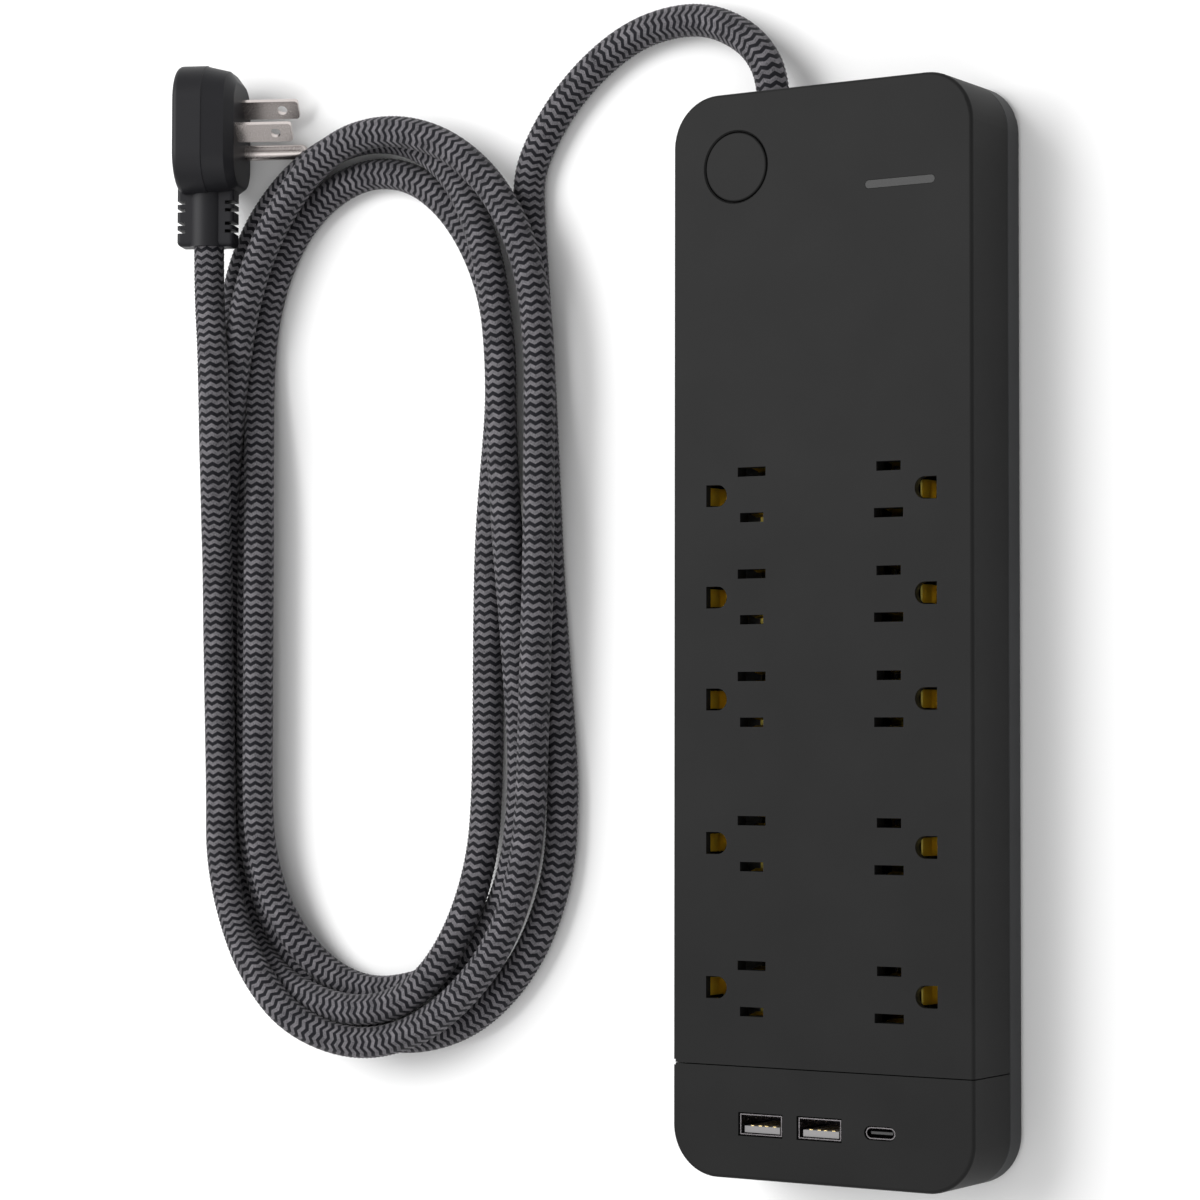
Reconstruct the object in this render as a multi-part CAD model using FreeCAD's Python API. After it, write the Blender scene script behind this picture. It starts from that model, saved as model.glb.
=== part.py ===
import FreeCAD, Part
import math
import os

# Power strip with ten outlets, three USB ports, a power button and a coiled 14/3 lead.
# Millimetres.  Origin: centre of the strip's footprint on the surface it stands on.
# +Y runs up the strip to the end that the lead leaves, +Z points out of the outlet face.

V = FreeCAD.Vector
X_AXIS = V(1, 0, 0)
Y_AXIS = V(0, 1, 0)
Z_AXIS = V(0, 0, 1)

# Housing
WIDTH = 93.6
LENGTH = 302.0
HEIGHT = 30.7
CORNER_R = 14.0
WALL = 2.4
FACE_EDGE_R = 1.0
FOOT_PROUD = 0.8
SEAM_Z = 8.8
SEAM_EDGE_R = 0.35
BASE_EDGE_R = 1.6
LIP_HEIGHT = 2.0
LIP_THICK = 1.2
LIP_GAP = 0.1
RIB_THICK = 1.6
CARRIER_RIBS_Y = (50, -20, -60, -105)
SURGE_RIBS_Y = (66, 96)
USB_RIBS_Y = (-118, -144)
CAP_SEAM_Y = -119.8
CAP_SEAM_GAP = 0.3
CUT_FROM_Z = 20.0
CUT_TO_Z = HEIGHT + 1
REACH = 200.0
HALF_W = WIDTH / 2
HALF_L = LENGTH / 2
FACE_UNDER_Z = HEIGHT - WALL
FLOOR_Z = FOOT_PROUD + WALL

# Outlets (NEMA 5-15, ground pin pointing outwards)
OUTLET_Y = (38.3, 9.9, -18.55, -58.5, -98.5)
COLUMN_X = 21.4
BLADE_OFFSET = 6.35
GROUND_OFFSET = 11.9
NEUTRAL_SLOT = (8.9, 2.6)
LINE_SLOT = (7.4, 2.6)
GROUND_HOLE_R = 3.05
GROUND_HOLE_FLAT = 14.6
GROUND_HOLE_ROUND = 11.0
CHIMNEY_Z = 26.2
CHIMNEY_WALL = 1.4

# Contact bars, in the column's own outward coordinate u measured from the slots' line
BAR_Z = 10.0
BAR_THICK = 0.8
BAR_Y = (-107.0, 66.0)
NEUTRAL_STRIP = (-9.5, -5.5)
NEUTRAL_CLIP = (-5.6, 4.5)
LINE_STRIP = (5.2, 8.5)
LINE_CLIP = (-4.5, 5.3)
GROUND_STRIP = (16.6, 20.6)
GROUND_PLATE = (8.8, 16.7)
CLIP_THICK = 0.5
CLIP_FLARE = 4.0
# Clips: half gaps at the foot, waist and mouth, then the top's height
BLADE_CLIP = (1.2, 0.8, 1.7, 23.0)
GROUND_CLIP = (2.7, 2.35, 3.1, 27.9)
GROUND_CLIP_HALF = 2.5
CARRIER_U = (-10.2, 21.2)
CARRIER_Y = (-108.0, 58.8)
CARRIER_Z = 8.0

# Power button
BUTTON_X = -26.5
BUTTON_Y = 130.2
BUTTON_R = 9.7
BUTTON_HOLE_R = 10.0
BUTTON_HOLE_EDGE = 0.4
BUTTON_EDGE_R = 0.5
BUTTON_SKIRT_Z = 27.0
BUTTON_HOLLOW_R = 7.6
BUTTON_UNDER_Z = 29.0
STEM_R = 2.6
STEM_Z = 19.9
CAGE_Z = 20.5
CAGE_FLOOR = 1.2
CAGE_R = (10.5, 11.7)
CAGE_HOLE_R = 3.4
SPRING_R = 5.4
SPRING_WIRE_R = 0.4
SPRING_TURNS = 4.5
PLUNGER_R = 2.0
SWITCH_X = (-35.5, -21.5)
SWITCH_Y = (110.0, 132.4)
SWITCH_Z = (5.0, 16.8)
PLUNGER_Y = 129.6

# Indicator bar
INDICATOR_X = 25.0
INDICATOR_Y = 121.8
INDICATOR_SIZE = (21.4, 2.4)

# USB ports
USB_Y = -135.8
USB_A_X = (-18.65, -0.2)
USB_A_SHELL = (13.2, 5.7)
USB_C_X = 18.5
USB_C_SHELL = (8.94, 3.2)
USB_A_OPENING = (14.0, 6.5)
USB_C_OPENING = (9.6, 3.8)
USB_SHELL_TOP = 30.2
USB_BOARD_Z = 9.0
BOARD_THICK = 1.6
USB_TOP_Z = USB_BOARD_Z + BOARD_THICK
USB_CAN_Y = -121.0
# Capacitors: radius, centre x, height
USB_CANS = ((4.0, -26.0, 12.0), (4.0, -16.0, 12.0), (3.15, -7.0, 10.0))

# Surge board
SURGE_BOARD = (-41.0, 41.0, 60.0, 101.5)
SURGE_BOARD_Z = BAR_Z - BOARD_THICK

# Fasteners and feet
CASE_SCREWS = ((36.5, 140), (0, 141), (-38.5, 107), (38.5, 107), (0, 72), (0, -40),
               (-38, -113.5), (38, -113.5), (-36, -141), (36, -141))
SCREW_R = 1.4
SCREW_HEAD_R = 2.8
BOSS_R = 3.5
FEET = ((-34, -132), (34, -132), (-34, 132), (34, 132))
FOOT_R = 5.5
KEYHOLE_Y = (-90.0, 90.0)
KEYHOLE_R = 4.5
KEYHOLE_SLOT_R = 2.3
KEYHOLE_TRAVEL = 9.0
KEYHOLE_HEAD_R = 5.2
KEYHOLE_HEAD_DEEP = 3.0
KEYHOLE_POCKET_HALF = 7.0
KEYHOLE_POCKET_TOP = FLOOR_Z + 4.2

# Lead
CORD_R = 4.8
CORE_R = 1.4
CORE_ROUTES = {
    "line_lead": ((-24.6, 138.5, 15.4), (-24.6, 135.6, 15.4), (-18.2, 133.6, 15.4), (-17.8, 120.0, 14.5),
                  (-18.5, 107.0, 12.6), (-24.0, 104.6, 11.3)),
    "neutral_lead": ((-24.6, 138.5, 9.8), (-24.6, 135.6, 9.8), (-17.0, 133.4, 9.8), (-14.6, 120.0, 10.4),
                     (-13.5, 108.0, 11.4), (-12.5, 98.5, 11.6)),
    "ground_lead": ((-21.0, 138.5, 12.7), (-21.0, 135.6, 12.7), (-13.6, 133.0, 12.7), (-10.8, 120.0, 12.7),
                    (-6.0, 109.0, 12.2), (-3.0, 98.5, 11.7)),
    "switched_lead": ((-32.5, 104.0, 11.3), (-31.5, 100.0, 11.5), (-28.5, 97.0, 11.7)),
}
CLAMP_Y = 143.0
CLAMP_HALF = (12.4, 2.2)
CLAMP_THICK = 2.6
CLAMP_SCREW_OFF = 9.6
CLAMP_SCREW_R = 1.1
CLAMP_POST_R = 2.6
CLAMP_HEAD_R = 2.2
CLAMP_ARCH_R = (6.25, 7.6)
CORD_EXIT_X = -24.3
CORD_EXIT_Z = 12.6
BUSH_HOLE_R = 6.7
BUSH_GROOVE_R = 8.4
BUSH_Y = (138.5, 152.4)
ARCH_ROUTE = ((-24.3, 138.5, 12.6), (-24.3, 148.0, 12.6), (-24.8, 157.5, 12.5), (-29.8, 166.5, 11.4),
              (-38.0, 173.2, 9.8), (-49.5, 178.3, 7.5), (-62.5, 179.3, 5.9), (-76.0, 176.8, 5.0),
              (-89.0, 169.8, 4.8), (-100.5, 159.7, 4.8), (-109.0, 148.0, 4.8), (-113.3, 138.0, 4.8),
              (-112.8, 126.0, 4.8), (-111.5, 108.0, 4.8))
TAIL_ROUTE = ((-220.4, 36.0, 18.6), (-218.1, 48.0, 22.0), (-217.3, 60.0, 23.7), (-217.5, 72.0, 23.9),
              (-218.5, 84.0, 23.2), (-220.1, 94.0, 21.8), (-221.6, 103.0, 20.8), (-223.0, 114.0, 19.7),
              (-223.4, 127.0, 19.3))
COIL_TOP_Z = 19.6
# Each end of the coil is half an ellipse: centre x, centre y, half width, half length
COIL_OUTER_TOP = (-167.0, 75.0, 68.0, 85.5)
COIL_OUTER_BOTTOM = (-163.5, -50.0, 68.8, 77.8)
COIL_INNER_TOP = (-167.0, 85.0, 38.5, 53.0)
COIL_INNER_BOTTOM = (-168.5, -48.0, 36.5, 52.5)

# Where the plug rests over or against the coil
RELIEF_SPACE = (-245.0, -210.5, 112.0, 170.0, 9.7)
PIN_SPACE = (-215.0, -195.2, 149.8, 165.0, 7.4)

# Plug (NEMA 5-15P): it lies on its rim and a blade tip, tilted down towards its prongs
PLUG_CENTRE = V(-222.6, 159.4, 19.4)
PLUG_TILT = 25.0
PLUG_ROLL = 43.0
PLUG_HALF = (20.0, 16.0)
PLUG_CORNER_R = 12.0
# Sections of the body: place along the prongs, then how far each end and the sides are drawn in
PLUG_SECTIONS = ((-9.0, 0.0, 0.0, 0.0), (0.2, 0.0, 0.0, 0.0), (0.4, 0.25, 0.25, 0.25), (7.2, 1.9, 0.9, 1.3),
                 (9.8, 5.4, 2.6, 4.6))
PLUG_BACK_EDGE_R = 1.8
PLUG_FRONT_EDGE_R = 0.8
RELIEF_X = -0.9
RELIEF_Y = (17.0, 36.2)
RELIEF_CORE_R = 6.0
RELIEF_WEB = (9.0, 4.2)
RELIEF_GROOVE_Y = (22.0, 24.4, 28.6, 31.0)
RELIEF_GROOVE = (1.7, 1.1)
PRONG_ROOT = -4.0
BLADE_CORNER_R = 1.1
BLADE_SIZE = (6.35, 1.5)
BLADE_TIP = 27.4
BLADE_HOLE_R = 1.6
BLADE_HOLE_FROM_TIP = 5.2
PIN_R = 2.38
PIN_TIP = 29.6
BLADE_LINE_BACK = -4.0


def box(x0, x1, y0, y1, z0, z1):
    """Block between two corners."""
    return Part.makeBox(x1 - x0, y1 - y0, z1 - z0, V(x0, y0, z0))


def rod(radius, x, y, z0, z1):
    """Upright cylinder."""
    return Part.makeCylinder(radius, z1 - z0, V(x, y, z0))


def edges_along_z(shape):
    """The straight edges that run along Z."""
    return [e for e in shape.Edges if e.BoundBox.XLength < 1e-6 and e.BoundBox.YLength < 1e-6]


def edges_at_z(shape, z):
    """The edges that lie wholly at a height."""
    return [e for e in shape.Edges if abs(e.BoundBox.ZMin - z) < 1e-6 and abs(e.BoundBox.ZMax - z) < 1e-6]


def rounded_block(half_w, half_l, radius, z0, z1):
    """Block centred on the Z axis with rounded upright corners."""
    block = box(-half_w, half_w, -half_l, half_l, z0, z1)
    return block.makeFillet(radius, edges_along_z(block))


def inset_block(inset, z0, z1):
    """The housing's plan shape drawn in by a distance."""
    return rounded_block(HALF_W - inset, HALF_L - inset, CORNER_R - inset, z0, z1)


def oblong(width, height, x, y, z0, z1):
    """Slot shape with round ends, its long side along X."""
    r = height / 2
    half = width / 2 - r
    bar = box(x - half, x + half, y - r, y + r, z0, z1)
    return bar.fuse([rod(r, x - half, y, z0, z1), rod(r, x + half, y, z0, z1)])


def outlets():
    """Every outlet as (side, centre y): side is -1 for the left column and 1 for the right."""
    return [(side, y) for side in (-1, 1) for y in OUTLET_Y]


def column_box(side, u0, u1, y0, y1, z0, z1):
    """Block whose x range is given in a column's outward coordinate."""
    a = side * (COLUMN_X + u0)
    b = side * (COLUMN_X + u1)
    return box(min(a, b), max(a, b), y0, y1, z0, z1)


def prism(points, direction):
    """Solid swept from a closed polygon along a vector."""
    wire = Part.makePolygon([V(*p) for p in points] + [V(*points[0])])
    return Part.Face(wire).extrude(direction)


def rounded_path(route):
    """Wire of straight runs joined by tangent arcs, and the arcs' radii."""
    points = [V(*p) for p in route]
    edges = []
    radii = []
    start = points[0]
    for before, corner, after in zip(points, points[1:], points[2:]):
        back = (before - corner).normalize()
        ahead = (after - corner).normalize()
        half_turn = (math.pi - back.getAngle(ahead)) / 2
        cut = 0.45 * min((before - corner).Length, (after - corner).Length)
        radius = cut / math.tan(half_turn)
        arc_start = corner + back * cut
        arc_end = corner + ahead * cut
        bisector = (back + ahead).normalize()
        middle = corner + bisector * (radius / math.cos(half_turn) - radius)
        edges.append(Part.LineSegment(start, arc_start).toShape())
        edges.append(Part.Arc(arc_start, middle, arc_end).toShape())
        radii.append(radius)
        start = arc_end
    edges.append(Part.LineSegment(start, points[-1]).toShape())
    return Part.Wire(edges), radii


def tube(route, radius):
    """Solid round bar along a rounded path, with the path's length and arc radii."""
    path, radii = rounded_path(route)
    direction = V(*route[1]) - V(*route[0])
    section = Part.Wire(Part.makeCircle(radius, V(*route[0]), direction))
    return path.makePipeShell([section], True, False), path.Length, radii


def export(name, shape):
    """Writes one sub-part."""
    shape.exportStep(os.path.join("parts", name + ".step"))


# ---------------------------------------------------------------- housing

def blade_cuts(z0, z1, grow):
    """All blade slots as cutting solids, widened by a margin."""
    cuts = []
    for side, y in outlets():
        x = side * COLUMN_X
        for size, direction in ((NEUTRAL_SLOT, 1), (LINE_SLOT, -1)):
            half_w = size[0] / 2 + grow
            half_h = size[1] / 2 + grow
            slot_y = y - side * direction * BLADE_OFFSET
            cuts.append(box(x - half_w, x + half_w, slot_y - half_h, slot_y + half_h, z0, z1))
    return cuts


def ground_cuts(z0, z1):
    """All ground holes as cutting solids: round towards the slots, flat on the outer side."""
    cuts = []
    r = GROUND_HOLE_R
    for side, y in outlets():
        flat = column_box(side, GROUND_HOLE_ROUND, GROUND_HOLE_FLAT, y - r, y + r, z0, z1)
        cuts.append(flat.fuse(rod(r, side * (COLUMN_X + GROUND_HOLE_ROUND), y, z0, z1)))
    return cuts


def bush_hole(radius, y0, y1):
    """Cylinder along the lead's exit axis."""
    return Part.makeCylinder(radius, y1 - y0, V(CORD_EXIT_X, y0, CORD_EXIT_Z), Y_AXIS)


def cover_shell():
    """Upper housing before it is divided into the main cover and the USB end cap."""
    outer = inset_block(0, SEAM_Z, HEIGHT)
    outer = outer.makeFillet(FACE_EDGE_R, edges_at_z(outer, HEIGHT))
    outer = outer.makeFillet(SEAM_EDGE_R, edges_at_z(outer, SEAM_Z))
    shell = outer.cut(inset_block(WALL, SEAM_Z - 1, FACE_UNDER_Z))
    chimneys = blade_cuts(CHIMNEY_Z, FACE_UNDER_Z, CHIMNEY_WALL)
    bosses = [rod(BOSS_R, x, y, SEAM_Z + 0.8, FACE_UNDER_Z) for x, y in CASE_SCREWS]
    pegs = [rod(1.5, INDICATOR_X + dx, INDICATOR_Y + 5.2, 24.2, FACE_UNDER_Z) for dx in (-10, 10)]
    shell = shell.fuse(chimneys + bosses + pegs)
    holes = [rod(SCREW_R + 0.05, x, y, SEAM_Z, 24.0) for x, y in CASE_SCREWS]
    half_w, half_h = (size / 2 for size in USB_A_OPENING)
    usb = [box(x - half_w, x + half_w, USB_Y - half_h, USB_Y + half_h, CUT_FROM_Z, CUT_TO_Z) for x in USB_A_X]
    usb.append(oblong(*USB_C_OPENING, USB_C_X, USB_Y, CUT_FROM_Z, CUT_TO_Z))
    button = rod(BUTTON_HOLE_R, BUTTON_X, BUTTON_Y, CUT_FROM_Z, CUT_TO_Z)
    bar = oblong(*INDICATOR_SIZE, INDICATOR_X, INDICATOR_Y, CUT_FROM_Z, CUT_TO_Z)
    slots = blade_cuts(CUT_FROM_Z, CUT_TO_Z, 0) + ground_cuts(CUT_FROM_Z, CUT_TO_Z)
    shell = shell.cut(slots + holes + usb + [button, bar, bush_hole(BUSH_HOLE_R, 140, 160)])
    rim = [e for e in edges_at_z(shell, HEIGHT) if abs(e.BoundBox.XLength - 2 * BUTTON_HOLE_R) < 0.1]
    return shell.makeChamfer(BUTTON_HOLE_EDGE, rim)


def make_covers():
    """Main front cover and the USB end cap that slides under its edge."""
    shell = cover_shell()
    far = REACH
    seam = CAP_SEAM_Y
    main = shell.common(box(-far, far, seam, far, 0, far))
    cap = shell.common(box(-far, far, -far, seam - CAP_SEAM_GAP, 0, far))
    ledge = box(-43.6, 43.6, seam - 2, seam + 2.5, FACE_UNDER_Z - 1.6, FACE_UNDER_Z)
    notch = box(-HALF_W - 1, -HALF_W + 0.9, seam - 0.8, seam + 0.8, HEIGHT - 1.6, HEIGHT + 1)
    export("front_cover", main.cut(notch))
    export("usb_end_cap", cap.fuse(ledge).cut(notch).removeSplitter())


def keyhole_pocket(y):
    """Closed box over a keyhole, so that a screw head can't reach live parts."""
    half = KEYHOLE_POCKET_HALF
    return box(-half, half, y - half, y + KEYHOLE_TRAVEL + half - 1, FLOOR_Z - 0.5, KEYHOLE_POCKET_TOP)


def keyhole_cut(y):
    """Entry hole, narrow slot and the space that the screw head slides in."""
    end_y = y + KEYHOLE_TRAVEL
    r = KEYHOLE_HEAD_R
    entry = rod(KEYHOLE_R, 0, y, 0, FLOOR_Z + KEYHOLE_HEAD_DEEP)
    narrow = box(-KEYHOLE_SLOT_R, KEYHOLE_SLOT_R, y, end_y, 0, FLOOR_Z + 1)
    end = rod(KEYHOLE_SLOT_R, 0, end_y, 0, FLOOR_Z + 1)
    head = box(-r, r, y - r, end_y + r - 0.6, FLOOR_Z, FLOOR_Z + KEYHOLE_HEAD_DEEP)
    return [entry, narrow, end, head]


def rib(half_w, y, top):
    """Cross rib on the tray's floor."""
    return box(-half_w, half_w, y, y + RIB_THICK, FLOOR_Z - 0.5, top)


def base_tray():
    """Tray with the lip that stands inside the cover."""
    outer = inset_block(0, FOOT_PROUD, SEAM_Z)
    outer = outer.makeFillet(BASE_EDGE_R, edges_at_z(outer, FOOT_PROUD))
    outer = outer.makeFillet(SEAM_EDGE_R, edges_at_z(outer, SEAM_Z))
    tray = outer.cut(inset_block(WALL, FLOOR_Z, SEAM_Z + 1))
    lip_inset = WALL + LIP_GAP
    lip = inset_block(lip_inset, FLOOR_Z, SEAM_Z + LIP_HEIGHT)
    lip = lip.cut(inset_block(lip_inset + LIP_THICK, FLOOR_Z, SEAM_Z + LIP_HEIGHT))
    foot_of_lip = inset_block(WALL - 0.1, FLOOR_Z - 0.1, SEAM_Z - 1.0)
    foot_of_lip = foot_of_lip.cut(inset_block(lip_inset + LIP_THICK, FLOOR_Z, SEAM_Z))
    return tray.fuse([lip, foot_of_lip])


def base_supports():
    """Screw tubes, ribs, posts and the pad under the switch."""
    supports = [rod(BOSS_R + 1, x, y, FLOOR_Z - 0.5, SEAM_Z + 0.6) for x, y in CASE_SCREWS]
    supports += [rib(42.5, y, CARRIER_Z) for y in CARRIER_RIBS_Y]
    supports += [rib(41, y, SURGE_BOARD_Z) for y in SURGE_RIBS_Y]
    supports += [rib(32, y, USB_BOARD_Z) for y in USB_RIBS_Y]
    supports.append(box(SWITCH_X[0] + 1, SWITCH_X[1] - 1, SWITCH_Y[0] + 2, SWITCH_Y[1] - 2, FLOOR_Z - 0.5,
                        SWITCH_Z[0]))
    supports += [rod(CLAMP_POST_R, x, CLAMP_Y, FLOOR_Z - 0.5, CORD_EXIT_Z) for x in clamp_screw_x()]
    return supports + [keyhole_pocket(y) for y in KEYHOLE_Y]


def base_cuts():
    """Screw holes, foot recesses, the seat of the strain relief and the keyholes."""
    cuts = [rod(SCREW_HEAD_R + 0.3, x, y, 0, 5.0) for x, y in CASE_SCREWS]
    cuts += [rod(SCREW_R + 0.15, x, y, 0, 20) for x, y in CASE_SCREWS]
    cuts += [rod(FOOT_R + 0.1, x, y, 0, FOOT_PROUD + 0.8) for x, y in FEET]
    cuts += [rod(CLAMP_SCREW_R + 0.05, x, CLAMP_Y, 5, 20) for x in clamp_screw_x()]
    cuts += [bush_hole(BUSH_HOLE_R, 140, 160), bush_hole(BUSH_GROOVE_R, 144.5, HALF_L - WALL)]
    for y in KEYHOLE_Y:
        cuts += keyhole_cut(y)
    return cuts


def make_base():
    """Tray with a lip inside the cover, ribs, posts, keyholes and foot recesses."""
    export("base_shell", base_tray().fuse(base_supports()).cut(base_cuts()).removeSplitter())


def make_fasteners():
    """Case screws driven from the back, and the moulded feet."""
    screws = []
    for x, y in CASE_SCREWS:
        head = rod(SCREW_HEAD_R, x, y, 3.0, 4.95)
        recess = box(x - 1.9, x + 1.9, y - 0.35, y + 0.35, 3.0, 3.9)
        cross = box(x - 0.35, x + 0.35, y - 1.9, y + 1.9, 3.0, 3.9)
        screws.append(head.cut([recess, cross]).fuse(rod(SCREW_R, x, y, 4.5, 22.0)))
    export("case_screws", Part.makeCompound(screws))
    feet = [rod(FOOT_R, x, y, 0, FOOT_PROUD + 0.75) for x, y in FEET]
    feet = [foot.makeFillet(0.4, edges_at_z(foot, 0)) for foot in feet]
    export("rubber_feet", Part.makeCompound(feet))


# ---------------------------------------------------------------- outlet contacts

def clip_profile(inner, waist, mouth, top):
    """Half-outline of a U-shaped spring clip as (distance from its middle, height)."""
    floor = BAR_Z + BAR_THICK
    waist_z = top - CLIP_FLARE
    inside = [(mouth, top), (waist, waist_z), (inner, floor)]
    outside = [(inner + CLIP_THICK, BAR_Z), (waist + CLIP_THICK, waist_z), (mouth + CLIP_THICK, top)]
    return inside, outside


def clip_points(inner, waist, mouth, top):
    """Closed outline of the clip in (across, height)."""
    inside, outside = clip_profile(inner, waist, mouth, top)
    left = [(-a, z) for a, z in inside]
    left_out = [(-a, z) for a, z in outside]
    return left_out + left + inside[::-1] + outside[::-1]


def blade_clip(side, span, y):
    """Clip that grips a flat blade between two leaves."""
    a = side * (COLUMN_X + span[0])
    b = side * (COLUMN_X + span[1])
    outline = clip_points(*BLADE_CLIP)
    return prism([(min(a, b), y + across, z) for across, z in outline], V(abs(b - a), 0, 0))


def ground_clip(side, y):
    """Clip that grips the round ground pin."""
    x = side * (COLUMN_X + GROUND_OFFSET)
    outline = clip_points(*GROUND_CLIP)
    half = GROUND_CLIP_HALF
    return prism([(x + across, y - half, z) for across, z in outline], V(0, 2 * half, 0))


def bar_strip(side, span):
    """Flat strip along the column."""
    return column_box(side, span[0], span[1], BAR_Y[0], BAR_Y[1], BAR_Z, BAR_Z + BAR_THICK)


def make_bars(side, name):
    """Neutral, line and ground bars of one column."""
    neutral = [blade_clip(side, NEUTRAL_CLIP, y - side * BLADE_OFFSET) for y in OUTLET_Y]
    line = [blade_clip(side, LINE_CLIP, y + side * BLADE_OFFSET) for y in OUTLET_Y]
    ground = [ground_clip(side, y) for y in OUTLET_Y]
    half = GROUND_CLIP_HALF
    plates = [column_box(side, *GROUND_PLATE, y - half, y + half, BAR_Z, BAR_Z + BAR_THICK) for y in OUTLET_Y]
    export("neutral_bar_" + name, bar_strip(side, NEUTRAL_STRIP).fuse(neutral).removeSplitter())
    export("line_bar_" + name, bar_strip(side, LINE_STRIP).fuse(line).removeSplitter())
    export("ground_bar_" + name, bar_strip(side, GROUND_STRIP).fuse(ground + plates).removeSplitter())


def make_carrier(side, name):
    """Insulating tray under the bars, with a rib wherever two bars come close."""
    plate = column_box(side, *CARRIER_U, *CARRIER_Y, CARRIER_Z, BAR_Z)
    ribs = []
    for y in OUTLET_Y:
        line_y = sorted((y + side * 9.5, y - side * 3.6))
        neutral_y = sorted((y - side * 9.5, y - side * 3.0))
        ribs.append(column_box(side, -5.3, -4.7, *line_y, BAR_Z - 0.2, 17))
        ribs.append(column_box(side, 4.6, 5.1, *neutral_y, BAR_Z - 0.2, 17))
    export("contact_carrier_" + name, plate.fuse(ribs).removeSplitter())


# ---------------------------------------------------------------- power button and switch

def make_button():
    """Button cap with its stem, its cage, its spring, and the switch's plunger."""
    spot = (BUTTON_X, BUTTON_Y)
    cap = rod(BUTTON_R, *spot, BUTTON_SKIRT_Z, HEIGHT)
    cap = cap.makeFillet(BUTTON_EDGE_R, edges_at_z(cap, HEIGHT))
    cap = cap.fuse(rod(BUTTON_R + 0.5, *spot, BUTTON_SKIRT_Z, FACE_UNDER_Z - 0.1))
    cap = cap.cut(rod(BUTTON_HOLLOW_R, *spot, BUTTON_SKIRT_Z - 1, BUTTON_UNDER_Z))
    stem = rod(STEM_R, *spot, STEM_Z, BUTTON_UNDER_Z + 0.2)
    export("power_button", cap.fuse(stem).removeSplitter())
    export("switch_plunger", rod(PLUNGER_R, BUTTON_X, PLUNGER_Y, 14.0, STEM_Z))
    cage = rod(CAGE_R[1], *spot, CAGE_Z, FACE_UNDER_Z)
    inside = rod(CAGE_R[0], *spot, CAGE_Z + CAGE_FLOOR, HEIGHT)
    export("button_cage", cage.cut([inside, rod(CAGE_HOLE_R, *spot, 10, HEIGHT)]))
    spring = coil_spring(SPRING_R, SPRING_WIRE_R, CAGE_Z + CAGE_FLOOR, BUTTON_UNDER_Z, SPRING_TURNS)
    export("button_spring", spring)


def coil_spring(radius, wire_r, z0, z1, turns):
    """Round-wire compression spring standing on the cage floor."""
    height = z1 - z0 - 2 * wire_r - 0.1
    helix = Part.makeHelix(height / turns, height, radius)
    section = Part.Wire(Part.makeCircle(wire_r, V(radius, 0, 0), Y_AXIS))
    spring = Part.Wire(helix).makePipeShell([section], True, True)
    spring.translate(V(BUTTON_X, BUTTON_Y, z0 + wire_r + 0.05))
    return spring


def make_switch():
    """Overload switch with its three tabs."""
    body = box(*SWITCH_X, *SWITCH_Y, *SWITCH_Z)
    body = body.makeFillet(0.8, edges_along_z(body))
    body = body.cut(rod(PLUNGER_R + 0.3, BUTTON_X, PLUNGER_Y, 11.0, 30))
    export("switch_body", body)
    tabs = [box(x - 1.5, x + 1.5, SWITCH_Y[0] - 7, SWITCH_Y[0], 9.0, 9.8) for x in (-32.5, -28.5, -24.5)]
    export("switch_terminals", Part.makeCompound(tabs))


def make_indicator():
    """Light bar in the face, with its lamps on a small board."""
    lens = oblong(INDICATOR_SIZE[0] - 0.2, INDICATOR_SIZE[1] - 0.2, INDICATOR_X, INDICATOR_Y, 27.5, HEIGHT)
    flange = box(INDICATOR_X - 12, INDICATOR_X + 12, INDICATOR_Y - 2.6, INDICATOR_Y + 2.6, 27.0, FACE_UNDER_Z)
    export("indicator_lens", lens.fuse(flange).removeSplitter())
    export("indicator_board", box(12, 38, 117, 130, 22.6, 24.2))
    lamps = [box(x - 1.6, x + 1.6, INDICATOR_Y - 1.4, INDICATOR_Y + 1.4, 24.2, 25.6) for x in (17, 25, 33)]
    export("indicator_lamps", Part.makeCompound(lamps))


# ---------------------------------------------------------------- boards

def make_surge_board():
    """Surge protection board and what stands on it."""
    x0, x1, y0, y1 = SURGE_BOARD
    board = box(x0, x1, y0, y1, SURGE_BOARD_Z, BAR_Z)
    export("surge_board", board.cut([rod(BOSS_R + 1.6, 0, 72, 0, 20)]))
    discs = [Part.makeCylinder(7.0, 4.6, V(x, 90, 19.2), Y_AXIS) for x in (-30, -12, 6)]
    legs = [rod(0.4, x + dx, 92.3, BAR_Z, 14) for x in (-30, -12, 6) for dx in (-3.75, 3.75)]
    varistors = [disc.fuse(legs[2 * i:2 * i + 2]) for i, disc in enumerate(discs)]
    export("varistors", Part.makeCompound(varistors))
    export("film_capacitor", box(20, 38, 88, 96, BAR_Z, 24))
    fuse_body = Part.makeCylinder(2.1, 11, V(-32, 80, 13.4), X_AXIS)
    fuse_legs = [rod(0.45, x, 80, BAR_Z, 13.4) for x in (-33.0, -20.0)]
    fuse_ends = Part.makeCylinder(0.45, 14, V(-33.4, 80, 13.4), X_AXIS)
    export("thermal_fuse", fuse_body.fuse(fuse_legs + [fuse_ends]).removeSplitter())
    ring = Part.makeTorus(6.4, 2.9, V(26, 76, BAR_Z + 2.9))
    export("choke", ring)


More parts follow.
